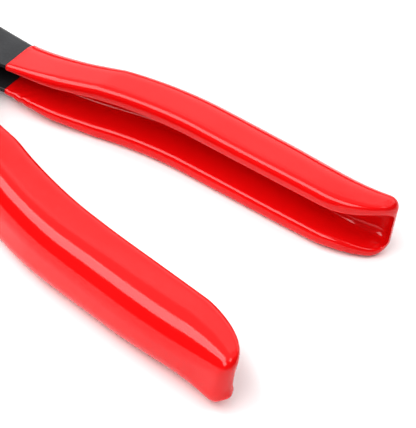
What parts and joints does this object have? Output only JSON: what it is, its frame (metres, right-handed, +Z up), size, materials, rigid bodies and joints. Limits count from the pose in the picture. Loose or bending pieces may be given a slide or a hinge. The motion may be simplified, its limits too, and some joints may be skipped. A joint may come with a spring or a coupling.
{
  "type": "self-locking hose clamp pliers",
  "caption": "Hose clamp pliers with two channel arms on a riveted pivot, red dipped grips, a notched lock bar and swivel jaws.",
  "frame": {"origin": "centre of the pivot rivet's flat lower head, on the plane that the tool lies on", "axes": "+X towards the jaws along the tool's middle line, +Y on the side of the outer arm's handle, +Z up along the pivot axis"},
  "size_m": [0.2104, 0.072, 0.0191],
  "materials": {
    "arm_steel": "black phosphated sheet steel, semi-matt",
    "jaw_block_steel": "black phosphated machined steel, semi-matt",
    "dipped_vinyl": "glossy red dipped vinyl",
    "zinc_hardware": "zinc plated, satin",
    "jaw_steel": "turned steel, satin",
    "spring_steel": "oiled spring steel",
    "lock_steel": "blanked and hardened steel, dark satin"
  },
  "bodies": {
    "outer": {"outer_arm": "arm_steel", "outer_grip": "dipped_vinyl", "pivot_rivet": "zinc_hardware", "pivot_bush": "zinc_hardware", "head_washer": "zinc_hardware", "side_washers": "zinc_hardware", "return_spring": "spring_steel", "spring_post": "zinc_hardware", "catch_pin": "zinc_hardware", "outer_jaw_block": "jaw_block_steel", "outer_block_rivets": "zinc_hardware"},
    "inner": {"inner_arm": "arm_steel", "inner_grip": "dipped_vinyl", "lock_rivet": "zinc_hardware", "lock_spacer": "zinc_hardware", "lock_wave_washer": "spring_steel", "inner_jaw_block": "jaw_block_steel", "inner_block_rivets": "zinc_hardware"},
    "lock": {"lock_bar": "lock_steel"},
    "outer_jaw": {"outer_swivel_jaw": "jaw_steel", "outer_jaw_washer": "zinc_hardware", "outer_jaw_clip": "spring_steel"},
    "inner_jaw": {"inner_swivel_jaw": "jaw_steel", "inner_jaw_washer": "zinc_hardware", "inner_jaw_clip": "spring_steel"}
  },
  "joints": [
    {"name": "arm_pivot", "type": "hinge", "parent": "outer", "child": "inner", "pos_m": [0, 0, 0.00865], "axis": [0, 0, -1], "range_deg": [-10, 20], "stiffness_Nm_per_rad": 1.5, "deforming": ["return_spring"]},
    {"name": "lock_swing", "type": "hinge", "parent": "inner", "child": "lock", "pos_m": [-0.02548, -0.00892, 0.00865], "axis": [0, 0, 1], "range_deg": [0, 9]},
    {"name": "outer_jaw_swivel", "type": "hinge", "parent": "outer", "child": "outer_jaw", "pos_m": [0.064, -0.02726, 0.00865], "axis": [0.1219, 0.9925, 0], "continuous": true},
    {"name": "inner_jaw_swivel", "type": "hinge", "parent": "inner", "child": "inner_jaw", "pos_m": [0.064, 0.02726, 0.00865], "axis": [0.1219, -0.9925, 0], "continuous": true}
  ]
}
